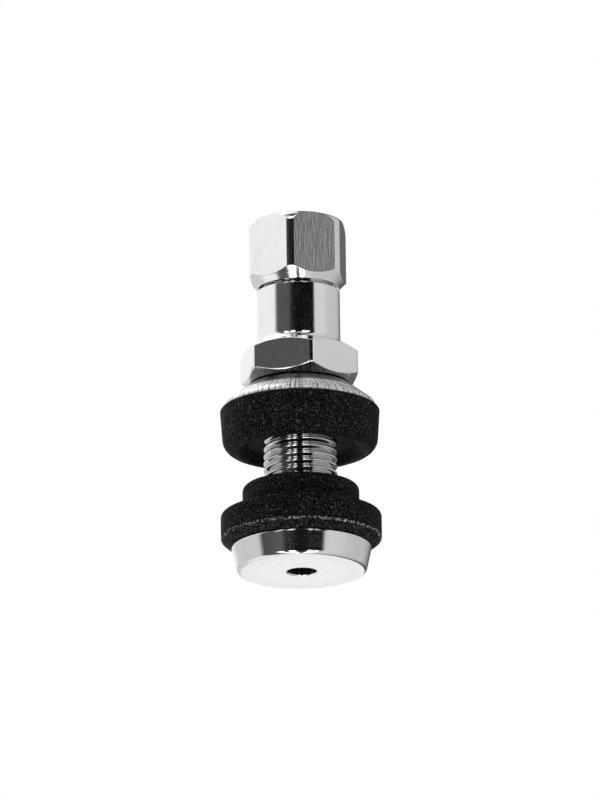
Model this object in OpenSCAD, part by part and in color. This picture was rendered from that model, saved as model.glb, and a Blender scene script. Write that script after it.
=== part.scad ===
// Clamp-in tyre valve: a turned stem held in a wheel rim between two rubber grommets.
// A sleeve nut on a dished washer clamps it, a hexagon cap closes it, and a spring-loaded core
// inside the stem seals the air. Millimetres, +Z up along the stem, origin at the foot's centre.

/* [Stem] */
// Outside diameter of the stem's thread
stem_d = 7.7; // [7.3:0.1:8]
// Diameter of the foot where it meets the floor
foot_bottom_d = 13.5; // [12:0.1:14.4]
// Diameter of the foot where it meets the lower grommet
foot_top_d = 14.7; // [13:0.1:15.6]
// Height of the foot
foot_h = 2.7; // [1.6:0.1:4]
// Rounding of the foot's lower edge
foot_edge_r = 0.5; // [0.1:0.05:0.8]
// Rounding of the foot's upper edge
foot_rim_r = 0.2; // [0.05:0.05:0.4]
// Fillet between the foot and the stem
foot_fillet_r = 0.3; // [0.1:0.05:0.6]
// Bevel at the stem's open end
mouth_bevel = 0.4; // [0.1:0.05:0.6]
// Diameter of the air hole through the foot
air_hole_d = 3.1; // [2:0.1:3.5]

/* [Lower grommet] */
// Diameter of the flange that lies inside the rim
flange_d = 16.8; // [16:0.1:20]
// Thickness of the flange
flange_h = 3.55; // [2:0.05:6]
// Diameter of the pilot that fills the rim's hole
pilot_d = 12.2; // [10.5:0.1:14]
// Height of the pilot above the flange
pilot_h = 3; // [1.5:0.1:5]
// Width of the bevel under the flange's edge
flange_bevel_w = 1; // [0.3:0.05:1.2]
// Height of the bevel under the flange's edge
flange_bevel_h = 0.85; // [0.3:0.05:1.2]
// Rounding of the flange's lower edges
flange_lower_r = 0.2; // [0.05:0.05:0.3]
// Rounding of the flange's upper edge
flange_upper_r = 0.4; // [0.1:0.05:0.6]
// Rounding of the pilot's upper edge
pilot_upper_r = 0.6; // [0.1:0.05:0.8]
// Fillet between flange and pilot
pilot_fillet_r = 0.3; // [0.1:0.05:0.6]

/* [Upper grommet] */
// Open space between the two grommets as supplied
rim_space = 3.8; // [3.6:0.1:8]
// Diameter at the grommet's lower edge
upper_bottom_d = 16.1; // [15:0.1:17.5]
// Diameter at the grommet's upper edge
upper_top_d = 16.7; // [16.2:0.1:19]
// Height of the grommet's side
upper_side_h = 4.5; // [3.4:0.05:6]
// Rounding of the grommet's lower edge
upper_lower_r = 1.4; // [0.4:0.1:1.6]
// Rounding of the grommet's upper edge
upper_edge_r = 0.12; // [0.05:0.01:0.15]
// Depth of the recess in the grommet's underside, which takes the top of the pilot
recess_h = 0.9; // [0.4:0.1:1.4]
// Width of the flat lip round that recess
recess_lip = 0.2; // [0.2:0.05:1]
// Draft of the recess's side
recess_draft = 1; // [0.4:0.05:1.1]
// Rounding of the recess's mouth
recess_mouth_r = 0.5; // [0.1:0.05:0.5]

/* [Washer] */
// How far the washer's rim lies inside the grommet's upper edge
washer_inset = 0.35; // [0.15:0.05:0.6]
// Diameter of the flat land under the nut
washer_land_d = 10.2; // [9.6:0.1:11]
// Height of the washer's upright rim
washer_rim_h = 0.5; // [0.45:0.05:1.5]
// Height of the washer's cone
washer_cone_h = 2.2; // [1.8:0.05:3]
// Thickness of the washer's sheet
washer_t = 0.8; // [0.4:0.05:1]
// Rounding where the cone turns into the rim
washer_shoulder_r = 0.8; // [0.1:0.05:1]

/* [Sleeve nut] */
// Nut size across flats
nut_af = 11.3; // [10.9:0.1:13]
// Height of the nut's hexagon
nut_hex_h = 3.9; // [3:0.1:6]
// Diameter of the flat faces inside the nut's bevels
nut_face_d = 10.6; // [9.8:0.1:10.8]
// Slope of the nut's bevels
nut_bevel_deg = 34; // [20:1:45]
// Turn of the nut's hexagon about the stem
nut_turn_deg = 42.1; // [0:0.1:60]
// Outside diameter of the barrel above the hexagon
barrel_d = 8.7; // [8.6:0.05:9.6]
// Length of the barrel above the hexagon
barrel_h = 6.3; // [3:0.1:12]
// Fillet between the hexagon and the barrel
barrel_fillet_r = 0.85; // [0.1:0.05:0.9]
// Bevel at the barrel's upper end
barrel_bevel = 0.15; // [0.05:0.05:0.2]

/* [Cap] */
// Cap size across flats
cap_af = 9.55; // [9.3:0.05:11]
// Diameter over the cap's turned corners
cap_corner_d = 10.6; // [10.3:0.05:10.8]
// Height of the cap
cap_h = 7.3; // [6:0.1:10]
// Depth of the 45 degree bevel round the cap's mouth
cap_bevel = 1.05; // [0.4:0.05:1.1]
// Rounding of the cap's upper edge
cap_edge_r = 1.2; // [0.4:0.1:1.8]
// Thickness of the cap's roof
cap_roof = 1; // [0.6:0.1:2]
// Thickness of the sealing disc in the cap
cap_disc_h = 1; // [0.6:0.1:2]
// Turn of the cap's hexagon about the stem
cap_turn_deg = 21.7; // [0:0.1:60]

/* [Valve core] */
// Outside diameter of the core's screw plug
plug_d = 5.2; // [5:0.1:5.4]
// Length of the screw plug
plug_h = 5; // [4:0.1:6]
// Bore of the screw plug
plug_bore_d = 2.8; // [2.6:0.1:3.4]
// Width of the key slot across the plug's top
plug_slot_w = 1.5; // [1:0.1:2]
// Depth of the key slot
plug_slot_h = 1.6; // [0.8:0.1:2.4]
// How far the plug lies below the stem's mouth
plug_recess = 0.6; // [0.3:0.1:1.2]
// Outside diameter of the core's barrel
core_d = 3.8; // [3.6:0.05:4]
// Length of the core's barrel
core_h = 7.5; // [6.5:0.1:9]
// Wall of the core's barrel
core_wall = 0.5; // [0.3:0.05:0.6]
// Hole in the barrel's floor that the pin passes through
core_port_d = 1.6; // [1.4:0.1:1.7]
// Height of the sealing ring on the barrel
gasket_h = 2; // [1:0.1:3]
// How far the sealing ring lies below the barrel's top
gasket_drop = 0.7; // [0.4:0.1:1.5]
// Diameter of the stem's taper at its wide end
taper_wide_d = 4.9; // [4.7:0.05:5]
// Diameter of the stem's chamber below the taper
chamber_d = 4.2; // [4.1:0.05:4.5]
// Diameter of the core's pin
pin_d = 1; // [0.8:0.05:1.2]
// How far the pin's tip lies below the stem's mouth
pin_recess = 0.25; // [0.1:0.05:0.5]
// Diameter of the pin's collar above the spring
collar_d = 2.4; // [2.2:0.05:2.5]
// Thickness of the pin's collar
collar_h = 0.5; // [0.3:0.05:0.8]
// How far the pin can be pressed
pin_travel = 1.2; // [0.6:0.1:1.6]
// Room left under the cup when the pin is pressed
cup_room = 1; // [0.4:0.1:2]
// Wire of the core's spring
wire_d = 0.3; // [0.2:0.02:0.36]
// Turns of the core's spring
spring_turns = 8; // [5:1:10]
// Diameter of the cup on the pin's lower end
cup_d = 3.4; // [3:0.1:3.6]
// Height of the cup
cup_h = 1.6; // [1.2:0.1:2.4]
// Wall of the cup
cup_wall = 0.25; // [0.15:0.05:0.4]
// Thickness of the rubber ring in the cup
ring_h = 0.8; // [0.5:0.05:1]
// How far the rubber ring stands out of the cup
ring_proud = 0.25; // [0.1:0.05:0.4]

/* [Clearances] */
// Radial play of threads and turning fits
thread_play = 0.05; // [0.02:0.01:0.1]
// Radial play of the washer on the stem
washer_play = 0.15; // [0.1:0.01:0.25]
// Play between pieces that lie on each other
face_play = 0.03; // [0.01:0.01:0.06]
// Play between the barrel's end and the cap's mouth
cap_play = 0.3; // [0.15:0.05:1]
// Play between the spring's wire and the pin
spring_play = 0.3; // [0.25:0.01:0.35]

/* [Hidden] */
$fn = 64;
overrun = 1;
past_corner = 0.2;
hexagon = 6;
drill_tip_deg = 59;

// Heights of the outer stack, from the foot upward
flange_z = foot_h;
pilot_z = flange_z + flange_h;
pilot_top_z = pilot_z + pilot_h;
upper_z = pilot_top_z + rim_space;
washer_z = upper_z + upper_side_h;
shoulder_z = washer_z + washer_rim_h;
land_z = shoulder_z + washer_cone_h;
nut_z = land_z + face_play;
barrel_z = nut_z + nut_hex_h;
barrel_top_z = barrel_z + barrel_h;
cap_z = barrel_top_z + cap_play;
cap_top_z = cap_z + cap_h;
disc_top_z = cap_top_z - cap_roof;
disc_z = disc_top_z - cap_disc_h;
stem_top_z = disc_z - face_play;

// Radii of the outer stack
stem_r = stem_d / 2;
thread_bore_r = stem_r + thread_play;
washer_hole_r = stem_r + washer_play;
nut_corner_r = nut_af / 2 / cos(180 / hexagon);

// Slope of the washer's cone, and the corners on the inside of its bent sheet
washer_r = upper_top_d / 2 - washer_inset;
land_r = washer_land_d / 2;
cone_deg = atan2(washer_cone_h, washer_r - land_r);
inner_land_r = land_r - washer_t * tan(cone_deg / 2);
inner_rim_r = washer_r - washer_t;
inner_land_z = land_z - washer_t;
inner_shoulder_z = shoulder_z - washer_t * (1 - sin(cone_deg)) / cos(cone_deg);

// Heights and radii of the core, from the stem's mouth downward
plug_top_z = stem_top_z - plug_recess;
plug_z = plug_top_z - plug_h;
core_thread_r = plug_d / 2 + thread_play;
core_top_z = plug_z - face_play;
core_z = core_top_z - core_h;
core_r = core_d / 2;
core_bore_r = core_r - core_wall;
core_floor_z = core_z + core_wall;
gasket_top_z = core_top_z - gasket_drop;
gasket_z = gasket_top_z - gasket_h;
chamber_r = chamber_d / 2;
taper_r = taper_wide_d / 2;
pin_r = pin_d / 2;
pin_top_z = stem_top_z - pin_recess;
collar_top_z = core_top_z - face_play;
collar_z = collar_top_z - collar_h;
ring_top_z = core_z - face_play;
ring_z = ring_top_z - ring_h;
cup_top_z = ring_top_z - ring_proud;
cup_z = cup_top_z - cup_h;
air_hole_r = air_hole_d / 2;
chamber_floor_z = cup_z - pin_travel - cup_room;
drill_tip_h = (chamber_r - air_hole_r) / tan(drill_tip_deg);

// Mean radius of the spring and the height its wire climbs between the floor and the collar
spring_r = pin_r + spring_play + wire_d / 2;
spring_low_z = core_floor_z + wire_d / 2 + face_play;
spring_high_z = collar_z - wire_d / 2 - face_play;
wire_sides = 6;
steps_per_turn = 14;

// Colours
chrome = [0.78, 0.79, 0.80];
black_rubber = [0.07, 0.07, 0.075];
brass = [0.78, 0.62, 0.32];
spring_steel = [0.62, 0.63, 0.65];
red_seal = [0.55, 0.12, 0.09];

// A profile's points are [radius, height, rounding]; each corner is kept with its two neighbours
function flat(p) = [p[0], p[1]];
function toward(from, to) = (flat(to) - flat(from)) / norm(flat(to) - flat(from));
function opening_deg(c) = acos(toward(c[1], c[0]) * toward(c[1], c[2]));
function cut_back(c) = c[1][2] / tan(opening_deg(c) / 2);
function arc_start(c) = flat(c[1]) + cut_back(c) * toward(c[1], c[0]);
function arc_end(c) = flat(c[1]) + cut_back(c) * toward(c[1], c[2]);
function halfway(c) = toward(c[1], c[0]) + toward(c[1], c[2]);
function arc_centre(c) =
    flat(c[1]) + halfway(c) / norm(halfway(c)) * c[1][2] / sin(opening_deg(c) / 2);
function is_round(c) = len(c[1]) > 2;
function is_outward(c) = cross(toward(c[0], c[1]), toward(c[1], c[2])) > 0;

// The sector of a corner's circle that faces the corner
module corner_arc(c) {
    intersection() {
        translate(arc_centre(c)) circle(r = c[1][2]);
        polygon([arc_start(c), flat(c[1]), arc_end(c), arc_centre(c)]);
    }
}

// An anticlockwise profile with true arcs at its rounded corners
module profile(points) {
    n = len(points);
    corners = [for (i = [0:n - 1]) [points[(i + n - 1) % n], points[i], points[(i + 1) % n]]];
    difference() {
        union() {
            polygon([for (c = corners) each is_round(c) ? [arc_start(c), arc_end(c)] : [flat(c[1])]]);
            for (c = corners) if (is_round(c) && is_outward(c)) corner_arc(c);
        }
        for (c = corners) if (is_round(c) && !is_outward(c)) corner_arc(c);
    }
}

module turned(points) {
    rotate_extrude() profile(points);
}

// A hexagon bar, turned to its angle about the stem
module hexagon_bar(corner_r, turn_deg, z, h) {
    translate([0, 0, z]) rotate([0, 0, turn_deg]) cylinder(h = h, r = corner_r, $fn = hexagon);
}

module stem() {
    color(chrome) turned([
        [air_hole_r, 0],
        [foot_bottom_d / 2, 0, foot_edge_r],
        [foot_top_d / 2, foot_h, foot_rim_r],
        [stem_r, foot_h, foot_fillet_r],
        [stem_r, stem_top_z - mouth_bevel],
        [stem_r - mouth_bevel, stem_top_z],
        [core_thread_r, stem_top_z],
        [core_thread_r, plug_z],
        [taper_r, plug_z - gasket_drop],
        [chamber_r, gasket_z],
        [chamber_r, chamber_floor_z],
        [air_hole_r, chamber_floor_z - drill_tip_h]
    ]);
}

module lower_grommet() {
    bore_r = stem_r + face_play;
    lift = foot_fillet_r + face_play;
    color(black_rubber) turned([
        [bore_r + lift, flange_z + face_play],
        [flange_d / 2 - flange_bevel_w, flange_z + face_play, flange_lower_r],
        [flange_d / 2, flange_z + flange_bevel_h, flange_lower_r],
        [flange_d / 2, pilot_z, flange_upper_r],
        [pilot_d / 2, pilot_z, pilot_fillet_r],
        [pilot_d / 2, pilot_top_z, pilot_upper_r],
        [bore_r, pilot_top_z],
        [bore_r, flange_z + lift]
    ]);
}

module upper_grommet() {
    bore_r = stem_r + thread_play;
    recess_r = upper_bottom_d / 2 - upper_lower_r - recess_lip;
    color(black_rubber) turned([
        [bore_r, upper_z + recess_h],
        [recess_r - recess_draft, upper_z + recess_h],
        [recess_r, upper_z, recess_mouth_r],
        [upper_bottom_d / 2, upper_z, upper_lower_r],
        [upper_top_d / 2, washer_z - face_play, upper_edge_r],
        [inner_rim_r - face_play, washer_z - face_play],
        [inner_rim_r - face_play, inner_shoulder_z - face_play],
        [inner_land_r, inner_land_z - face_play / cos(cone_deg)],
        [bore_r, inner_land_z - face_play / cos(cone_deg)]
    ]);
}

module washer() {
    color(chrome) turned([
        [inner_rim_r, washer_z],
        [washer_r, washer_z],
        [washer_r, shoulder_z, washer_shoulder_r],
        [land_r, land_z],
        [washer_hole_r, land_z],
        [washer_hole_r, inner_land_z],
        [inner_land_r, inner_land_z],
        [inner_rim_r, inner_shoulder_z]
    ]);
}

module sleeve_nut() {
    face_r = nut_face_d / 2;
    bevel_r = nut_corner_r + past_corner;
    bevel_h = (bevel_r - face_r) * tan(nut_bevel_deg);
    barrel_r = barrel_d / 2;
    color(chrome) difference() {
        intersection() {
            hexagon_bar(nut_corner_r, nut_turn_deg, nut_z, barrel_top_z - nut_z);
            turned([
                [0, nut_z],
                [face_r, nut_z],
                [bevel_r, nut_z + bevel_h],
                [bevel_r, barrel_z - bevel_h],
                [face_r, barrel_z],
                [barrel_r, barrel_z, min(barrel_fillet_r, face_r - barrel_r - face_play)],
                [barrel_r, barrel_top_z - barrel_bevel],
                [barrel_r - barrel_bevel, barrel_top_z],
                [0, barrel_top_z]
            ]);
        }
        translate([0, 0, nut_z - overrun])
            cylinder(h = barrel_top_z - nut_z + 2 * overrun, r = thread_bore_r);
    }
}

module cap_shell() {
    corner_r = cap_corner_d / 2;
    color(chrome) difference() {
        intersection() {
            hexagon_bar(cap_af / 2 / cos(180 / hexagon), cap_turn_deg, cap_z, cap_h);
            turned([
                [0, cap_z],
                [corner_r - cap_bevel, cap_z],
                [corner_r, cap_z + cap_bevel],
                [corner_r, cap_top_z, cap_edge_r],
                [0, cap_top_z]
            ]);
        }
        translate([0, 0, cap_z - overrun])
            cylinder(h = disc_top_z - cap_z + overrun, r = thread_bore_r);
    }
}

module cap_seal() {
    color(black_rubber) translate([0, 0, disc_z])
        cylinder(h = cap_disc_h - face_play, r = thread_bore_r - face_play);
}

module core_plug() {
    color(brass) difference() {
        translate([0, 0, plug_z]) cylinder(h = plug_h, r = plug_d / 2);
        translate([0, 0, plug_z - overrun]) cylinder(h = plug_h + 2 * overrun, r = plug_bore_d / 2);
        translate([-plug_d, -plug_slot_w / 2, plug_top_z - plug_slot_h])
            cube([2 * plug_d, plug_slot_w, plug_slot_h + overrun]);
    }
}

module core_barrel() {
    color(brass) turned([
        [core_port_d / 2, core_z],
        [core_r, core_z],
        [core_r, core_top_z],
        [core_bore_r, core_top_z],
        [core_bore_r, core_floor_z],
        [core_port_d / 2, core_floor_z]
    ]);
}

module core_gasket() {
    taper_h = plug_z - gasket_drop - gasket_z;
    wide_r = chamber_r + (taper_r - chamber_r) * gasket_h / taper_h;
    color(red_seal) turned([
        [core_r + face_play, gasket_z],
        [chamber_r - face_play, gasket_z],
        [wide_r - face_play, gasket_top_z],
        [core_r + face_play, gasket_top_z]
    ]);
}

module core_pin() {
    color(brass) turned([
        [0, cup_z],
        [pin_r, cup_z],
        [pin_r, collar_z],
        [collar_d / 2, collar_z],
        [collar_d / 2, collar_top_z],
        [pin_r, collar_top_z],
        [pin_r, pin_top_z, pin_r / 2],
        [0, pin_top_z]
    ]);
}

// One ring of the spring's wire: a small polygon that stands across the helix
function wire_ring(step) =
    let (
        steps = spring_turns * steps_per_turn,
        turn = 360 * step / steps_per_turn,
        z = spring_low_z + (spring_high_z - spring_low_z) * step / steps
    )
    [for (side = [0:wire_sides - 1])
        let (
            a = 360 * side / wire_sides,
            r = spring_r + wire_d / 2 * cos(a)
        )
        [r * cos(turn), r * sin(turn), z + wire_d / 2 * sin(a)]
    ];

module core_spring() {
    steps = spring_turns * steps_per_turn;
    last = steps * wire_sides;
    walls = [for (step = [0:steps - 1], side = [0:wire_sides - 1])
        let (
            a = step * wire_sides + side,
            b = step * wire_sides + (side + 1) % wire_sides
        )
        [a, b, b + wire_sides, a + wire_sides]
    ];
    ends = [
        [for (side = [wire_sides - 1:-1:0]) side],
        [for (side = [0:wire_sides - 1]) last + side]
    ];
    color(spring_steel) polyhedron(
        points = [for (step = [0:steps]) each wire_ring(step)],
        faces = concat(walls, ends)
    );
}

module core_cup() {
    color(brass) turned([
        [pin_r + face_play, cup_z],
        [cup_d / 2, cup_z],
        [cup_d / 2, cup_top_z],
        [cup_d / 2 - cup_wall, cup_top_z],
        [cup_d / 2 - cup_wall, ring_z - face_play],
        [pin_r + face_play, ring_z - face_play]
    ]);
}

module core_seat() {
    outer_r = cup_d / 2 - cup_wall - face_play;
    color(black_rubber) turned([
        [pin_r + face_play, ring_z],
        [outer_r, ring_z],
        [outer_r, ring_top_z],
        [pin_r + face_play, ring_top_z]
    ]);
}

stem();
lower_grommet();
upper_grommet();
washer();
sleeve_nut();
cap_shell();
cap_seal();
core_plug();
core_barrel();
core_gasket();
core_pin();
core_spring();
core_cup();
core_seat();
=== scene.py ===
"""Looks of a clamp-in tyre valve: chrome plate, black rubber and a brass core, on a pale stage."""

import math

import bmesh
import bpy
import numpy as np
from mathutils import Matrix, Vector


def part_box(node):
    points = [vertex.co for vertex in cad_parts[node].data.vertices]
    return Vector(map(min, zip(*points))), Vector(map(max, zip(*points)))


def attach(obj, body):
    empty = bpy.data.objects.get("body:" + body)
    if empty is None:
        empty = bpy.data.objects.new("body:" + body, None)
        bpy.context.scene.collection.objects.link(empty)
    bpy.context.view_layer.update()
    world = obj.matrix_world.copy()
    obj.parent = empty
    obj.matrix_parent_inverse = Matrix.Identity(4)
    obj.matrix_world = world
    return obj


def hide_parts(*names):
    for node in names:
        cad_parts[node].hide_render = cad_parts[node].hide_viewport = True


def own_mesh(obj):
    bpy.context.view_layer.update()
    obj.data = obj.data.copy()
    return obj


MM = 0.001
TURN = 2 * math.pi

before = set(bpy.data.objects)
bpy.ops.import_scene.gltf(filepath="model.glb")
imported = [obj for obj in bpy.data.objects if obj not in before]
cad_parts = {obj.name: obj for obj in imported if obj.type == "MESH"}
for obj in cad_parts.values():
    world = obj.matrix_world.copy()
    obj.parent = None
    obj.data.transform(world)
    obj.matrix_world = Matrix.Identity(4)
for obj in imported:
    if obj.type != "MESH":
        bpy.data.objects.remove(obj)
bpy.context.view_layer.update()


def low(name):
    """Height of a CAD node's lowest point, in millimetres."""
    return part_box(name)[0].z / MM


def high(name):
    """Height of a CAD node's highest point, in millimetres."""
    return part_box(name)[1].z / MM


# Meshes, from points in millimetres
ARC_STEPS = 6
# Distance of the extra points beside a rounding, which keep the faces next to it flat
SUPPORT = 0.03
SEGMENTS = 160
SHARP_DEG = 30
# Distance in metres within which points are welded
WELD = 1e-7


def arc_points(before, corner, after, radius):
    """Points of the arc that rounds a corner between two straight sides, with one more on each side."""
    corner = np.array(corner, float)
    u = np.array(before, float) - corner
    v = np.array(after, float) - corner
    u /= np.linalg.norm(u)
    v /= np.linalg.norm(v)
    half = math.acos(np.clip(u @ v, -1, 1)) / 2
    centre = corner + (u + v) / np.linalg.norm(u + v) * radius / math.sin(half)
    start = corner + u * radius / math.tan(half) - centre
    end = corner + v * radius / math.tan(half) - centre
    sweep = math.pi - 2 * half
    arc = [
        centre + (math.sin((1 - t) * sweep) * start + math.sin(t * sweep) * end) / math.sin(sweep)
        for t in np.linspace(0, 1, ARC_STEPS + 1)
    ]
    return [arc[0] + u * SUPPORT, *arc, arc[-1] + v * SUPPORT]


def rounded(points, closed=True):
    """A profile of (radius, height, rounding) points as a list of (radius, height)."""
    n = len(points)
    out = []
    for i, p in enumerate(points):
        at_end = not closed and i in (0, n - 1)
        if len(p) < 3 or at_end:
            out.append(np.array(p[:2], float))
        else:
            out += arc_points(points[i - 1][:2], p[:2], points[(i + 1) % n][:2], p[2])
    return out


def ring(r, z, angles):
    """One row of points round the axis; r and z are numbers or one value for each angle."""
    even = np.ones_like(angles)
    return np.stack([r * np.cos(angles), r * np.sin(angles), z * even], 1)


def skin(name, rows, sharp_deg=SHARP_DEG):
    """A smooth-shaded object over rows of points; points that fall together are welded."""
    columns = len(rows[0])
    faces = [
        (a, a + 1, a + 1 + columns, a + columns)
        for i in range(len(rows) - 1)
        for a in range(i * columns, (i + 1) * columns - 1)
    ]
    mesh = bpy.data.meshes.new(name)
    mesh.from_pydata(np.concatenate(rows) * MM, [], faces)
    work = bmesh.new()
    work.from_mesh(mesh)
    bmesh.ops.remove_doubles(work, verts=work.verts, dist=WELD)
    bmesh.ops.dissolve_degenerate(work, edges=work.edges, dist=WELD)
    bmesh.ops.recalc_face_normals(work, faces=work.faces)
    work.to_mesh(mesh)
    work.free()
    mesh.shade_smooth()
    mesh.set_sharp_from_angle(angle=math.radians(sharp_deg))
    made = bpy.data.objects.new(name, mesh)
    bpy.context.scene.collection.objects.link(made)
    return made


def turned(name, points):
    """A turned piece from its closed profile."""
    angles = np.linspace(0, TURN, SEGMENTS + 1)
    rows = [ring(r, z, angles) for r, z in rounded(points)]
    return skin(name, rows + rows[:1])


# Sizes of the CAD part that the frame doesn't give, in millimetres
STEM_R = 3.85
PITCH = 25.4 / 32
PLAY = 0.03
THREAD_BORE_R = 3.9

# Stem: a turned foot, one helical thread up to the mouth, and the bore for the core
FOOT_TOP_R = 7.35
FOOT_BOTTOM_R = 6.75
FOOT_H = 2.7
FOOT_EDGE_R = 0.5
FOOT_RIM_R = 0.2
FOOT_FILLET = 0.3
AIR_HOLE_R = 1.55
HOLE_BEVEL = 0.1
MOUTH_BEVEL = 0.4
CORE_THREAD_R = 2.65
CORE_BEVEL = 0.15
TAPER_R = 2.45
TAPER_DROP = 0.7
CHAMBER_R = 2.1
CHAMBER_DROP = 2.2
DRILL_TIP = 0.33
THREAD_DEPTH = 0.45
THREAD_STEPS = 120
THREAD_SHARP_DEG = 65
ROOT_R = 0.1
CREST_R = 0.14
FLANK_DEG = 60
# Points over half a root and over a whole crest
ROOT_POINTS = 3
CREST_POINTS = 7


def one_turn():
    """One turn of thread from root to root, as shares of its pitch and depths from its root."""
    root = np.radians(np.linspace(0, FLANK_DEG, ROOT_POINTS))
    crest = np.radians(np.linspace(-FLANK_DEG, FLANK_DEG, CREST_POINTS))
    rise = ROOT_R * np.sin(root) / PITCH
    depth = ROOT_R * (1 - np.cos(root))
    places = np.concatenate([rise, 0.5 + CREST_R * np.sin(crest) / PITCH, 1 - rise[:0:-1]])
    depths = np.concatenate([depth, THREAD_DEPTH - CREST_R * (1 - np.cos(crest)), depth[:0:-1]])
    return places, depths


TURN_SHARES, TURN_DEPTHS = one_turn()


def thread_radius(z, angles, bottom, top):
    """Radius of the threaded stem at a height, cut back by the bevel at its mouth."""
    phase = ((z - bottom) / PITCH - angles / TURN) % 1
    depth = np.interp(phase, np.append(TURN_SHARES, 1), np.append(TURN_DEPTHS, 0))
    return np.minimum(STEM_R - THREAD_DEPTH + depth, STEM_R - MOUTH_BEVEL + top - z)


def foot_profile():
    """Outside of the foot, from its air hole round to the thread's root."""
    return rounded(
        [
            (AIR_HOLE_R, HOLE_BEVEL + SUPPORT),
            (AIR_HOLE_R, HOLE_BEVEL),
            (AIR_HOLE_R + HOLE_BEVEL, 0),
            (AIR_HOLE_R + HOLE_BEVEL + SUPPORT, 0),
            (FOOT_BOTTOM_R, 0, FOOT_EDGE_R),
            (FOOT_TOP_R, FOOT_H, FOOT_RIM_R),
            (STEM_R - THREAD_DEPTH, FOOT_H),
        ],
        closed=False,
    )


def bore_profile(top):
    """Inside of the stem, from its mouth down to the air hole."""
    plug_z = low("core_plug")
    chamber_floor = low("core_cup") - CHAMBER_DROP
    return [
        (CORE_THREAD_R + CORE_BEVEL, top),
        (CORE_THREAD_R, top - CORE_BEVEL),
        (CORE_THREAD_R, plug_z),
        (TAPER_R, plug_z - TAPER_DROP),
        (CHAMBER_R, low("core_gasket")),
        (CHAMBER_R, chamber_floor),
        (AIR_HOLE_R, chamber_floor - DRILL_TIP),
    ]


def build_stem():
    angles = np.linspace(0, TURN, THREAD_STEPS + 1)
    bottom = FOOT_H + FOOT_FILLET
    top = high("stem")
    rows = [ring(r, z, angles) for r, z in foot_profile()]
    for turn in range(-1, math.ceil((top - bottom) / PITCH) + 1):
        for share in TURN_SHARES:
            z = np.clip(bottom + (turn + share + angles / TURN) * PITCH, bottom, top)
            rows.append(ring(thread_radius(z, angles, bottom, top), z, angles))
    rows += [ring(r, z, angles) for r, z in bore_profile(top)]
    return skin("stem_threaded", rows + rows[:1], THREAD_SHARP_DEG)


# Lower grommet
FLANGE_R = 8.4
FLANGE_BEVEL_W = 1
FLANGE_BEVEL_H = 0.82
FLANGE_TOP = 6.25
FLANGE_LOWER_R = 0.2
FLANGE_UPPER_R = 0.4
PILOT_R = 6.1
PILOT_FILLET_R = 0.3
PILOT_UPPER_R = 0.6
PILOT_BORE_R = 0.15


def build_lower_grommet():
    bottom = low("lower_grommet")
    top = high("lower_grommet")
    bore = STEM_R + PLAY
    return turned(
        "lower_grommet_moulded",
        [
            (bore + FOOT_FILLET, bottom),
            (FLANGE_R - FLANGE_BEVEL_W, bottom, FLANGE_LOWER_R),
            (FLANGE_R, bottom + FLANGE_BEVEL_H, FLANGE_LOWER_R),
            (FLANGE_R, FLANGE_TOP, FLANGE_UPPER_R),
            (PILOT_R, FLANGE_TOP, PILOT_FILLET_R),
            (PILOT_R, top, PILOT_UPPER_R),
            (bore, top, PILOT_BORE_R),
            (bore, bottom + FOOT_FILLET),
        ],
    )


# Washer, bent from sheet: a short rim, a cone and a flat land under the nut
WASHER_R = 8
WASHER_T = 0.8
WASHER_RIM_H = 0.5
WASHER_LAND_R = 5.1
WASHER_HOLE_R = 4
WASHER_EDGE_R = 0.1
WASHER_SHOULDER_R = 0.78
WASHER_INNER_R = 0.2
WASHER_BEND_R = 0.3
CONE_RISE = high("washer") - low("washer") - WASHER_RIM_H
CONE_ANGLE = math.atan2(CONE_RISE, WASHER_R - WASHER_LAND_R)


def sheet_inside():
    """Corners on the inside of the washer's bent sheet: its rim, its shoulder and its land."""
    lift = WASHER_T * (1 - math.sin(CONE_ANGLE)) / math.cos(CONE_ANGLE)
    shoulder = low("washer") + WASHER_RIM_H - lift
    land_r = WASHER_LAND_R - WASHER_T * math.tan(CONE_ANGLE / 2)
    return WASHER_R - WASHER_T, shoulder, land_r, high("washer") - WASHER_T


def build_washer():
    rim_r, shoulder, land_r, land_z = sheet_inside()
    bottom = low("washer")
    top = high("washer")
    return turned(
        "washer_pressed",
        [
            (rim_r, bottom, WASHER_EDGE_R),
            (WASHER_R, bottom, WASHER_EDGE_R),
            (WASHER_R, bottom + WASHER_RIM_H, WASHER_SHOULDER_R),
            (WASHER_LAND_R, top, WASHER_BEND_R),
            (WASHER_HOLE_R, top, WASHER_EDGE_R),
            (WASHER_HOLE_R, land_z),
            (land_r, land_z, WASHER_BEND_R),
            (rim_r, shoulder, WASHER_INNER_R),
        ],
    )


# Upper grommet, which fills the washer
UPPER_TOP_R = 8.35
UPPER_BOTTOM_R = 8.05
UPPER_LOWER_R = 1.4
UPPER_LIP_R = 0.18
RECESS_R = 6.45
RECESS_H = 0.9
RECESS_DRAFT = 1
RECESS_ROOF_R = 0.3
RECESS_EDGE_R = 0.5


def build_upper_grommet():
    rim_r, shoulder, land_r, land_z = sheet_inside()
    bottom = low("upper_grommet")
    edge = low("washer") - PLAY
    roof = land_z - PLAY / math.cos(CONE_ANGLE)
    return turned(
        "upper_grommet_moulded",
        [
            (THREAD_BORE_R, bottom + RECESS_H),
            (RECESS_R - RECESS_DRAFT, bottom + RECESS_H, RECESS_ROOF_R),
            (RECESS_R, bottom, RECESS_EDGE_R),
            (UPPER_BOTTOM_R, bottom, UPPER_LOWER_R),
            (UPPER_TOP_R, edge, UPPER_LIP_R),
            (rim_r - PLAY, edge),
            (rim_r - PLAY, shoulder - PLAY),
            (land_r, roof),
            (THREAD_BORE_R, roof),
        ],
    )


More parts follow.
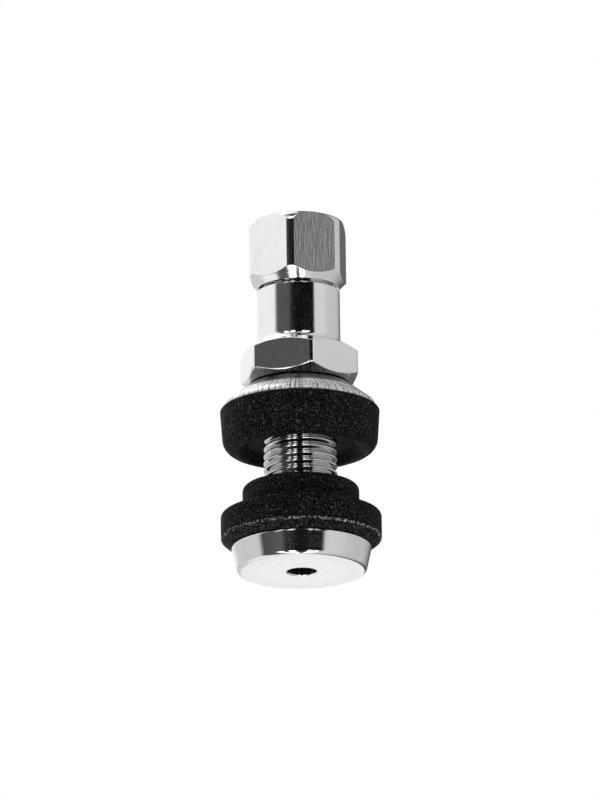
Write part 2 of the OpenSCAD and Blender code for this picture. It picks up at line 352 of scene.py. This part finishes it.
# Hexagon pieces: each angle round the axis has its own profile
HEX_STEPS = 360
HEX_SHARP_DEG = 40
SIDES = 6
HALF_SIDE_DEG = 180 / SIDES
HALF_SIDE = math.radians(HALF_SIDE_DEG)
# How strongly the angles draw together towards the corners
CROWDING = 1.8


def hexagon_radius(angles, across_flats, turn_deg, edge_r):
    """Radius of a hexagon with rounded edges, one corner at turn_deg."""
    flat = across_flats / 2
    off = (angles - math.radians(turn_deg)) % (2 * HALF_SIDE) - HALF_SIDE
    radius = flat / np.cos(off)
    centre = (flat - edge_r) / math.cos(HALF_SIDE)
    from_corner = HALF_SIDE - np.abs(off)
    reach = edge_r**2 - (centre * np.sin(from_corner)) ** 2
    arc = centre * np.cos(from_corner) + np.sqrt(np.maximum(reach, 0))
    start = math.atan2(centre * math.sin(HALF_SIDE), flat)
    return np.where((np.abs(off) > start) & (reach > 0), arc, radius)


def hexagon_angles(turn_deg, seam_deg=()):
    """Angles round the axis from one corner, closer together at the corners and at seams beside them."""
    share = np.linspace(-1, 1, HEX_STEPS // SIDES + 1)[:-1]
    side = HALF_SIDE_DEG * np.sign(share) * (1 - (1 - np.abs(share)) ** CROWDING)
    corners = 2 * HALF_SIDE_DEG * np.arange(SIDES)
    from_corner = [corner + HALF_SIDE_DEG + side for corner in corners]
    for seam in seam_deg:
        from_corner += [corners + seam, (corners - seam) % 360]
    angles = np.radians(turn_deg + np.unique(np.concatenate(from_corner)))
    return np.append(angles, angles[0] + TURN)


def profiles(name, angles, profile_at):
    """An object from one profile for each angle, all with the same number of points."""
    columns = [np.array(profile_at(i)) for i in range(len(angles))]
    rows = []
    for k in range(len(columns[0])):
        r = np.array([c[k][0] for c in columns])
        z = np.array([c[k][1] for c in columns])
        rows.append(ring(r, z, angles))
    return skin(name, rows, HEX_SHARP_DEG)


# Sleeve nut
NUT_AF = 11.3
NUT_TURN_DEG = 42.1
NUT_SIDE_R = 0.6
NUT_HEX_H = 3.9
NUT_FACE_R = 5.3
NUT_FACE_EDGE_R = 0.06
NUT_LOWER_R = 0.2
NUT_UPPER_R = 0.1
NUT_BEVEL = math.tan(math.radians(34))
BARREL_R = 4.35
BARREL_FILLET = 0.85
BARREL_BEVEL = 0.15
BARREL_EDGE_R = 0.08
BORE_BEVEL = 0.25


def build_nut():
    bottom = low("sleeve_nut")
    top = high("sleeve_nut")
    shoulder = bottom + NUT_HEX_H
    angles = hexagon_angles(NUT_TURN_DEG)
    outer = hexagon_radius(angles, NUT_AF, NUT_TURN_DEG, NUT_SIDE_R)

    def profile_at(i):
        bevel = (outer[i] - NUT_FACE_R) * NUT_BEVEL
        return rounded(
            [
                (THREAD_BORE_R, top - BORE_BEVEL),
                (THREAD_BORE_R, bottom + BORE_BEVEL),
                (THREAD_BORE_R + BORE_BEVEL, bottom),
                (NUT_FACE_R, bottom, NUT_FACE_EDGE_R),
                (outer[i], bottom + bevel, NUT_LOWER_R),
                (outer[i], shoulder - bevel, NUT_UPPER_R),
                (NUT_FACE_R, shoulder, NUT_FACE_EDGE_R),
                (BARREL_R, shoulder, BARREL_FILLET),
                (BARREL_R, top - BARREL_BEVEL, BARREL_EDGE_R),
                (BARREL_R - BARREL_BEVEL, top),
                (THREAD_BORE_R, top - BORE_BEVEL),
            ],
            closed=False,
        )

    return profiles("nut_turned", angles, profile_at)


# Cap
CAP_AF = 9.55
CAP_TURN_DEG = 21.7
CAP_CORNER_R = 5.3
CAP_BEVEL = 1.05
CAP_SIDE_R = 0.14
CAP_MOUTH_R = 0.03
CAP_LOWER_R = 0.1
CAP_EDGE_R = 1.2
CAP_EDGE_STEPS = 12
CAP_ROOF = 1
# Degrees between the extra columns at the edge of a turned corner
SEAM_STEP = 0.15


def build_cap():
    bottom = low("cap_shell")
    top = high("cap_shell")
    seam = HALF_SIDE_DEG - math.degrees(math.acos(CAP_AF / 2 / CAP_CORNER_R))
    angles = hexagon_angles(CAP_TURN_DEG, [seam - SEAM_STEP, seam, seam + SEAM_STEP])
    outer = np.minimum(hexagon_radius(angles, CAP_AF, CAP_TURN_DEG, CAP_SIDE_R), CAP_CORNER_R)
    mouth = CAP_CORNER_R - CAP_BEVEL
    edge_centre = CAP_CORNER_R - CAP_EDGE_R

    def profile_at(i):
        start = math.acos(min((outer[i] - edge_centre) / CAP_EDGE_R, 1))
        edge = [
            (edge_centre + CAP_EDGE_R * math.cos(a), top - CAP_EDGE_R + CAP_EDGE_R * math.sin(a))
            for a in np.linspace(start, math.pi / 2, CAP_EDGE_STEPS)
        ]
        side = rounded(
            [
                (0, top - CAP_ROOF),
                (THREAD_BORE_R, top - CAP_ROOF),
                (THREAD_BORE_R, bottom + BORE_BEVEL),
                (THREAD_BORE_R + BORE_BEVEL, bottom),
                (mouth, bottom, CAP_MOUTH_R),
                (outer[i], bottom + outer[i] - mouth, CAP_LOWER_R),
                (outer[i], edge[0][1] - SUPPORT),
                edge[0],
            ],
            closed=False,
        )
        return [*side, *edge[1:], (0, top)]

    return profiles("cap_turned", angles, profile_at)


# Spring of the core: round wire, wound evenly
WIRE_R = 0.15
WIRE_SIDES = 10
WIRE_SHARP_DEG = 60
SPRING_R = 0.95
SPRING_TURNS = 8
SPRING_STEPS = 24


def build_spring():
    bottom = low("core_spring") + WIRE_R
    top = high("core_spring") - WIRE_R
    sides = np.linspace(0, TURN, WIRE_SIDES + 1)
    r = SPRING_R + WIRE_R * np.cos(sides)
    steps = SPRING_TURNS * SPRING_STEPS
    rows = []
    for step in range(steps + 1):
        turn = TURN * step / SPRING_STEPS
        z = bottom + (top - bottom) * step / steps + WIRE_R * np.sin(sides)
        rows.append(np.stack([r * math.cos(turn), r * math.sin(turn), z], 1))
    ends = [np.repeat(row.mean(0, keepdims=True), WIRE_SIDES + 1, 0) for row in (rows[0], rows[-1])]
    return skin("spring_wound", [ends[0], *rows, ends[1]], WIRE_SHARP_DEG)


# Shader nodes
def node(tree, kind, **settings):
    """A new node; a setting is one of its properties or the value of one of its inputs."""
    made = tree.nodes.new("ShaderNode" + kind)
    for key, value in settings.items():
        if key in made.bl_rna.properties:
            setattr(made, key, value)
        else:
            made.inputs[key].default_value = value
    return made


def surface(name, metallic=0):
    """A new material with its tree and Principled shader."""
    material = bpy.data.materials.new(name)
    material.use_nodes = True
    shader = material.node_tree.nodes["Principled BSDF"]
    shader.inputs["Metallic"].default_value = metallic
    return material, material.node_tree, shader


def math_node(tree, operation, *values):
    made = node(tree, "Math", operation=operation)
    for slot, value in zip(made.inputs, values):
        if isinstance(value, (int, float)):
            slot.default_value = value
        else:
            tree.links.new(value, slot)
    return made.outputs["Value"]


def blend(tree, kind, factor, first, second):
    """Two colours mixed by a factor, each a value or a socket."""
    made = node(tree, "Mix", data_type="RGBA", blend_type=kind)
    for name, value in (("Factor_Float", factor), ("A_Color", first), ("B_Color", second)):
        slot = next(i for i in made.inputs if i.identifier == name)
        if isinstance(value, bpy.types.NodeSocket):
            tree.links.new(value, slot)
        else:
            slot.default_value = value
    return next(o for o in made.outputs if o.identifier == "Result_Color")


def stretched(tree, scale):
    """Coordinates of the piece, in the part's frame, times a scale: one number or one for each axis."""
    place = node(tree, "TexCoord")
    grow = node(tree, "Mapping", vector_type="POINT")
    grow.inputs["Scale"].default_value = scale if isinstance(scale, tuple) else (scale, scale, scale)
    tree.links.new(place.outputs["Object"], grow.inputs["Vector"])
    return grow.outputs["Vector"]


def axes(tree, vector):
    """X, Y and Z of a vector."""
    split = node(tree, "SeparateXYZ")
    tree.links.new(vector, split.inputs["Vector"])
    return [split.outputs[axis] for axis in "XYZ"]


def noise(tree, scale, detail=2.0, rough=0.5):
    """Noise over the piece; scale is features to the metre, one number or one for each axis."""
    made = node(tree, "TexNoise", Scale=1.0, Detail=detail, Roughness=rough)
    tree.links.new(stretched(tree, scale), made.inputs["Vector"])
    return made.outputs["Fac"]


def share_between(tree, value, start, end):
    """How far a value lies from start to end, from 0 to 1."""
    made = node(tree, "MapRange")
    made.inputs["From Min"].default_value = start
    made.inputs["From Max"].default_value = end
    tree.links.new(value, made.inputs["Value"])
    return made.outputs["Result"]


def ramp(tree, value, stops):
    """A colour ramp over value; stops are (place, grey or colour)."""
    made = node(tree, "ValToRGB")
    elements = made.color_ramp.elements
    while len(elements) < len(stops):
        elements.new(0.5)
    for element, (place, tone) in zip(elements, stops):
        element.position = place
        element.color = (*tone, 1) if isinstance(tone, tuple) else (tone, tone, tone, 1)
    tree.links.new(value, made.inputs["Fac"])
    return made.outputs["Color"]


def bumps(tree, shader, layers):
    """Bump from several heights, each with its depth in metres."""
    last = None
    for height, depth in layers:
        bump = node(tree, "Bump", Strength=1.0, Distance=depth)
        tree.links.new(height, bump.inputs["Height"])
        if last:
            tree.links.new(last, bump.inputs["Normal"])
        last = bump.outputs["Normal"]
    tree.links.new(last, shader.inputs["Normal"])


# Chrome plate. In each material a noise has its features to the metre and its depth in metres
ROUND_MARKS = (300, 300, 24000)
ROUND_DEPTH = 5e-7
LENGTH_MARKS = (6500, 6500, 800)
NUT_DEPTH = 1e-6
CAP_DEPTH = 4e-6
HAZE = 900
HAZE_DEPTH = 2e-6
PLATE_TONES = [(0.3, 0.80), (0.7, 0.86)]
PLATE_ROUGH = [(0.3, 0.06), (0.75, 0.16)]
# Share of full brightness by distance from the axis, in millimetres up to TONE_REACH
TONE_REACH = 8
EVEN_TONES = [(0, 1), (TONE_REACH, 1)]
# Painted shade darkens the thread's roots, and the middle of the foot's underside is a little paler than
# its edge
STEM_TONES_WITH_ROOT_SHADE = [
    (3.3, 1),
    (3.4, 0.6),
    (3.6, 0.75),
    (3.84, 0.9),
    (4.2, 1),
    (4.7, 1),
    (4.9, 0.95),
    (TONE_REACH, 0.95),
]


def axis_distance(tree):
    """Distance of a point from the axis, in millimetres; all of the foot counts as outside the thread."""
    x, y, z = axes(tree, stretched(tree, 1 / MM))
    squares = math_node(tree, "MULTIPLY_ADD", y, y, math_node(tree, "MULTIPLY", x, x))
    in_foot = math_node(tree, "LESS_THAN", z, FOOT_H)
    least = math_node(tree, "MULTIPLY", in_foot, THREAD_BORE_R + FOOT_FILLET)
    return math_node(tree, "MAXIMUM", math_node(tree, "SQRT", squares), least)


def chrome(name, grain, depth, tones=EVEN_TONES):
    """Polished plate; grain is the stretch of its drawing or turning marks, depth their height."""
    material, tree, shader = surface(name, metallic=1)
    marks = noise(tree, grain, detail=3, rough=0.6)
    haze = noise(tree, HAZE, detail=3, rough=0.6)
    reach = math_node(tree, "DIVIDE", axis_distance(tree), TONE_REACH)
    by_distance = ramp(tree, reach, [(r / TONE_REACH, tone) for r, tone in tones])
    colour = blend(tree, "MULTIPLY", 1.0, ramp(tree, haze, PLATE_TONES), by_distance)
    tree.links.new(colour, shader.inputs["Base Color"])
    tree.links.new(ramp(tree, marks, PLATE_ROUGH), shader.inputs["Roughness"])
    bumps(tree, shader, [(marks, depth), (haze, HAZE_DEPTH)])
    return material


# Washer's plate; STREAKS count to the radian, and the painted shade under the nut starts at a height
# above its edge in millimetres
STREAKS = 34.0
STREAK_DEPTH = 3e-5
GRIT = (5200, 5200, 2600)
GRIT_DEPTH = 1.5e-5
PALE_TONES = [(0.16, 0.08), (0.23, 0.65), (0.31, 0.95)]
NUT_SHADE_TONES = [(0.16, 0.02), (0.24, 0.09), (0.33, 0.26)]
NUT_SHADE_FROM = 1.45
NUT_SHADE_OVER = 0.2
PALE_TO_SHADED_ROUGH = [(0, 0.4), (1, 0.24)]


def washer_plate():
    """Plated pressed steel: pale with drawing marks that run outward, and darkened near the nut with
    painted shade.
    """
    material, tree, shader = surface("washer_plate", metallic=1)
    x, y, z = axes(tree, stretched(tree, 1))
    streak = node(tree, "TexNoise", noise_dimensions="1D", Scale=STREAKS, Detail=3.0, Roughness=0.7)
    tree.links.new(math_node(tree, "ARCTAN2", y, x), streak.inputs["W"])
    grit = noise(tree, GRIT, detail=3, rough=0.65)
    marks = math_node(tree, "MULTIPLY", streak.outputs["Fac"], grit)
    # Painted shade: the plate's colour turns dark above a height close under the nut
    shade_z = low("washer") + NUT_SHADE_FROM
    nut_shade = share_between(tree, z, shade_z * MM, (shade_z + NUT_SHADE_OVER) * MM)
    tone = blend(tree, "MIX", nut_shade, ramp(tree, marks, PALE_TONES), ramp(tree, marks, NUT_SHADE_TONES))
    tree.links.new(tone, shader.inputs["Base Color"])
    tree.links.new(ramp(tree, nut_shade, PALE_TO_SHADED_ROUGH), shader.inputs["Roughness"])
    bumps(tree, shader, [(streak.outputs["Fac"], STREAK_DEPTH), (grit, GRIT_DEPTH)])
    return material


# Rubber
GRAIN = 5200
GRAIN_DEPTH = 3e-5
DUST = 4800
DUST_DEPTH = 1.5e-5
PATCHES = 260
RUBBER_TONES = [(0.46, 0.0015), (0.56, 0.013), (0.66, 0.1)]
RUBBER_ROUGH = [(0.3, 0.55), (0.7, 0.72)]
RUBBER_SHINE = 0.04
# Share of paler, worn rubber up the bevel under the flange, as a part of WORN_REACH in millimetres
WORN_REACH = 1.2
WORN_EDGE = [(0, 0.05), (0.55, 0.05), (0.64, 0.8), (0.72, 0.8), (0.82, 0)]
WORN_TONES = [(0.46, 0.003), (0.54, 0.1), (0.62, 0.8)]


def rubber():
    """Matt moulded rubber with a fine grain and a little dust, paler where the flange's edge is worn."""
    material, tree, shader = surface("black_rubber")
    grain = noise(tree, GRAIN, detail=3, rough=0.6)
    dust = noise(tree, DUST, detail=4, rough=0.75)
    z = axes(tree, stretched(tree, 1))[2]
    up_bevel = share_between(tree, z, FOOT_H * MM, (FOOT_H + WORN_REACH) * MM)
    worn = ramp(tree, up_bevel, WORN_EDGE)
    tone = blend(tree, "MIX", worn, ramp(tree, dust, RUBBER_TONES), ramp(tree, dust, WORN_TONES))
    tree.links.new(tone, shader.inputs["Base Color"])
    tree.links.new(ramp(tree, noise(tree, PATCHES), RUBBER_ROUGH), shader.inputs["Roughness"])
    shader.inputs["Specular IOR Level"].default_value = RUBBER_SHINE
    bumps(tree, shader, [(grain, GRAIN_DEPTH), (dust, DUST_DEPTH)])
    return material


# Brass, spring wire and sealing ring of the core
TURNING_MARKS = (500, 500, 26000)
STAINS = 1500
BRASS_COLOURS = [(0.3, (0.62, 0.46, 0.22)), (0.7, (0.76, 0.60, 0.31))]
BRASS_ROUGH = [(0.3, 0.16), (0.7, 0.3)]
METAL_DEPTH = 2e-6
WIRE_MARKS = 9000
WIRE_TONES = [(0.3, 0.5), (0.7, 0.66)]
WIRE_ROUGH = [(0.3, 0.18), (0.7, 0.34)]
CLOUDS = 3000
CLOUD_DEPTH = 4e-6
RING_COLOURS = [(0.3, (0.40, 0.07, 0.055)), (0.7, (0.54, 0.11, 0.085))]
RING_ROUGH = [(0.3, 0.38), (0.7, 0.5)]


def brass():
    material, tree, shader = surface("core_brass", metallic=1)
    marks = noise(tree, TURNING_MARKS)
    stain = noise(tree, STAINS, detail=3)
    tree.links.new(ramp(tree, stain, BRASS_COLOURS), shader.inputs["Base Color"])
    tree.links.new(ramp(tree, marks, BRASS_ROUGH), shader.inputs["Roughness"])
    bumps(tree, shader, [(marks, METAL_DEPTH)])
    return material


def wire():
    material, tree, shader = surface("spring_wire", metallic=1)
    marks = noise(tree, WIRE_MARKS, detail=3)
    tree.links.new(ramp(tree, marks, WIRE_TONES), shader.inputs["Base Color"])
    tree.links.new(ramp(tree, marks, WIRE_ROUGH), shader.inputs["Roughness"])
    bumps(tree, shader, [(marks, METAL_DEPTH)])
    return material


def sealing_ring():
    material, tree, shader = surface("core_ring")
    cloud = noise(tree, CLOUDS, detail=3)
    tree.links.new(ramp(tree, cloud, RING_COLOURS), shader.inputs["Base Color"])
    tree.links.new(ramp(tree, cloud, RING_ROUGH), shader.inputs["Roughness"])
    bumps(tree, shader, [(cloud, CLOUD_DEPTH)])
    return material


# Pieces, each in place of one CAD node
def dress(piece, material):
    piece.data.materials.clear()
    piece.data.materials.append(material)


stem_chrome = chrome("stem_chrome", ROUND_MARKS, ROUND_DEPTH, STEM_TONES_WITH_ROOT_SHADE)
nut_chrome = chrome("nut_chrome", LENGTH_MARKS, NUT_DEPTH)
cap_chrome = chrome("cap_chrome", LENGTH_MARKS, CAP_DEPTH)
black_rubber = rubber()
core_brass = brass()

PIECES = [
    (build_stem(), "stem", "stem_body", stem_chrome, "chrome_plate"),
    (build_lower_grommet(), "lower_grommet", "stem_body", black_rubber, "black_rubber"),
    (build_upper_grommet(), "upper_grommet", "clamp_stack", black_rubber, "black_rubber"),
    (build_washer(), "washer", "clamp_stack", washer_plate(), "washer_plate"),
    (build_nut(), "sleeve_nut", "nut", nut_chrome, "chrome_plate"),
    (build_cap(), "cap_shell", "cap", cap_chrome, "chrome_plate"),
    (build_spring(), "core_spring", "stem_body", wire(), "spring_wire"),
]
for piece, cad_node, body, material, slot in PIECES:
    dress(piece, material)
    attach(piece, body)
    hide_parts(cad_node)

# The spring, which shortens by the pin's travel, gets its own copy of its mesh
spring = PIECES[-1][0]
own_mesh(spring)

# CAD nodes that keep their own shape
NODE_SLOTS = {
    "cap_seal": (black_rubber, "black_rubber"),
    "core_seat": (black_rubber, "black_rubber"),
    "core_plug": (core_brass, "core_brass"),
    "core_barrel": (core_brass, "core_brass"),
    "core_pin": (core_brass, "core_brass"),
    "core_cup": (core_brass, "core_brass"),
    "core_gasket": (sealing_ring(), "core_ring"),
}
for name, (material, slot) in NODE_SLOTS.items():
    dress(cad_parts[name], material)

# Camera, where the photo's was: below the part and a little rolled
PHOTO_H = 800
MM_PER_PIXEL = 0.1045
SENSOR_MM = 36
CAMERA_DISTANCE = 1.5
CAMERA_DROP_DEG = 16.8
CAMERA_ROLL_DEG = -0.76
CAMERA_NEAR = 0.05
CAMERA_FAR = 10
AIM = Vector((0.04, 0, 18.7)) * MM


def looking(place, direction):
    """A matrix that puts a camera or lamp at a place and turns it to a direction."""
    return Matrix.Translation(place) @ direction.to_track_quat("-Z", "Y").to_matrix().to_4x4()


def add_camera():
    data = bpy.data.cameras.new("camera")
    data.sensor_width = SENSOR_MM
    data.lens = SENSOR_MM * CAMERA_DISTANCE / (PHOTO_H * MM_PER_PIXEL * MM)
    data.clip_start = CAMERA_NEAR
    data.clip_end = CAMERA_FAR
    camera = bpy.data.objects.new("camera", data)
    bpy.context.scene.collection.objects.link(camera)
    drop = math.radians(CAMERA_DROP_DEG)
    back = Vector((0, -math.cos(drop), -math.sin(drop)))
    roll = Matrix.Rotation(math.radians(CAMERA_ROLL_DEG), 4, "Z")
    camera.matrix_world = looking(AIM + back * CAMERA_DISTANCE, -back) @ roll
    bpy.context.scene.camera = camera


# Studio round the part: tone by direction in degrees, 0 at the front and 90 at the right.
# White from the back round the left, dark at the front left, black in front, pale at the right,
# and a dark stretch at the back right
WALLS = [
    (-180, 1),
    (-75, 1),
    (-66.5, 0.1),
    (-30, 0.085),
    (-24, 0.02),
    (-14, 0.004),
    (37.6, 0.004),
    (43.2, 0.75),
    (75, 0.72),
    (85, 0.62),
    (126, 0.6),
    (141, 0.42),
    (155, 0.15),
    (168, 0.1),
    (175, 0.9),
    (180, 1),
]
# Degrees that the walls lean round for each degree of height
WALL_LEAN = 0.25
# Four upright strips of light in front of the part, which draw the bright lines on its thread
STRIPS = [
    (-45, 0),
    (-42, 3),
    (-34, 3),
    (-31, 0),
    (-24, 0),
    (-21, 4),
    (-13, 4),
    (-11, 0),
    (11, 0),
    (13, 4),
    (18, 4),
    (20, 0.1),
    (23, 0.1),
    (25, 3),
    (29, 3),
    (32, 0),
]
# Two pale panels higher up
HIGH_PANEL = [
    (-50, 0),
    (-45, 0.9),
    (-30, 0.9),
    (-27, 0),
    (-7, 0),
    (-4, 0.9),
    (28, 0.9),
    (33, 0),
]
# What is left of the walls low down at the left
LEFT_SHADE = [(-180, 1), (-172, 0.7), (-66, 0.7), (-58, 1)]
# Share of each by height in degrees; the strips leave out what the barrel and the foot's side mirror
STRIP_HEIGHTS = [
    (-21, 1),
    (-16, 0),
    (-3, 0),
    (-1, 1),
    (3, 1),
    (6, 0),
    (28, 0),
    (31, 1),
    (47, 1),
    (50, 0),
]
HIGH_HEIGHTS = [(46, 0), (49, 1), (58, 1), (64, 0)]
SHADE_HEIGHTS = [(-40, 0), (-30, 1), (7, 1), (11, 0)]
AROUND_HALF = 180
HEIGHT_HALF = 90


def by_angle(tree, angle_deg, half_range, stops):
    """A ramp over an angle in degrees that runs from -half_range to half_range."""
    share = share_between(tree, angle_deg, -half_range, half_range)
    return ramp(tree, share, [(a / half_range / 2 + 0.5, tone) for a, tone in stops])


def studio_light(tree):
    """Tone of the studio in each direction."""
    place = node(tree, "TexCoord")
    x, y, z = axes(tree, place.outputs["Generated"])
    around = math_node(tree, "ARCTAN2", x, math_node(tree, "MULTIPLY", y, -1))
    around = math_node(tree, "DEGREES", around)
    height = math_node(tree, "DEGREES", math_node(tree, "ARCSINE", z))
    leaning = math_node(tree, "MULTIPLY_ADD", height, -WALL_LEAN, around)
    light = by_angle(tree, leaning, AROUND_HALF, WALLS)
    for kind, tones, heights in (
        ("MULTIPLY", LEFT_SHADE, SHADE_HEIGHTS),
        ("ADD", STRIPS, STRIP_HEIGHTS),
        ("ADD", HIGH_PANEL, HIGH_HEIGHTS),
    ):
        share = by_angle(tree, height, HEIGHT_HALF, heights)
        light = blend(tree, kind, share, light, by_angle(tree, around, AROUND_HALF, tones))
    return light


def add_world():
    """White behind the part; what lights it is a studio with pale sides and a dark front."""
    world = bpy.data.worlds.new("studio")
    world.use_nodes = True
    bpy.context.scene.world = world
    tree = world.node_tree
    tree.nodes.clear()
    path = node(tree, "LightPath")
    shown = blend(tree, "MIX", path.outputs["Is Camera Ray"], studio_light(tree), (1, 1, 1, 1))
    background = node(tree, "Background", Strength=1.0)
    tree.links.new(shown, background.inputs["Color"])
    out = node(tree, "OutputWorld")
    tree.links.new(background.outputs["Background"], out.inputs["Surface"])


# One soft lamp, above and to the left
KEY_PLACE = Vector((-0.3, 0.15, 0.5))
KEY_SIZE = 0.4
KEY_WATTS = 0.8


def add_key_lamp():
    data = bpy.data.lights.new("key", "AREA")
    data.size = KEY_SIZE
    data.energy = KEY_WATTS
    lamp = bpy.data.objects.new("key", data)
    bpy.context.scene.collection.objects.link(lamp)
    lamp.matrix_world = looking(KEY_PLACE, AIM - KEY_PLACE)


# Floor
FLOOR_HALF = 3
FLOOR_DROP = 0.0001
FLOOR_CLOUDS = 40
FLOOR_TONES = [(0.3, 0.86), (0.7, 0.88)]
FLOOR_ROUGH = 0.9
# Share of plain white in the floor by distance from the part, as a part of FLOOR_FADE
FLOOR_FADE = 0.4
FLOOR_WHITE = [(0, 0.25), (0.12, 0.5), (1, 1)]


def mix_shaders(tree, factor, first, second):
    made = node(tree, "MixShader")
    for slot, value in zip(made.inputs, (factor, first, second)):
        tree.links.new(value, slot)
    return made.outputs["Shader"]


def floor_paint():
    """Pale near the part, plain white farther off, and clear from below."""
    material, tree, shader = surface("floor")
    shader.inputs["Roughness"].default_value = FLOOR_ROUGH
    tree.links.new(ramp(tree, noise(tree, FLOOR_CLOUDS), FLOOR_TONES), shader.inputs["Base Color"])
    away = node(tree, "VectorMath", operation="LENGTH")
    tree.links.new(stretched(tree, 1 / FLOOR_FADE), away.inputs[0])
    far = ramp(tree, away.outputs["Value"], FLOOR_WHITE)
    white = node(tree, "Emission", Strength=1.0)
    top_side = mix_shaders(tree, far, shader.outputs["BSDF"], white.outputs["Emission"])
    below = node(tree, "NewGeometry").outputs["Backfacing"]
    clear = node(tree, "BsdfTransparent").outputs["BSDF"]
    shown = mix_shaders(tree, below, top_side, clear)
    tree.links.new(shown, tree.nodes["Material Output"].inputs["Surface"])
    return material


def add_floor():
    """A pale floor under the foot, seen from above only, because the photo looks up from below it."""
    mesh = bpy.data.meshes.new("floor")
    h = FLOOR_HALF
    z = -FLOOR_DROP
    mesh.from_pydata([(-h, -h, z), (h, -h, z), (h, h, z), (-h, h, z)], [], [(0, 1, 2, 3)])
    mesh.materials.append(floor_paint())
    floor = bpy.data.objects.new("floor", mesh)
    bpy.context.scene.collection.objects.link(floor)
    floor.visible_diffuse = False
    floor.visible_glossy = False
    floor.visible_transmission = False
    floor.visible_shadow = False


bpy.context.scene.view_settings.view_transform = "Standard"
add_camera()
add_world()
add_key_lamp()
add_floor()
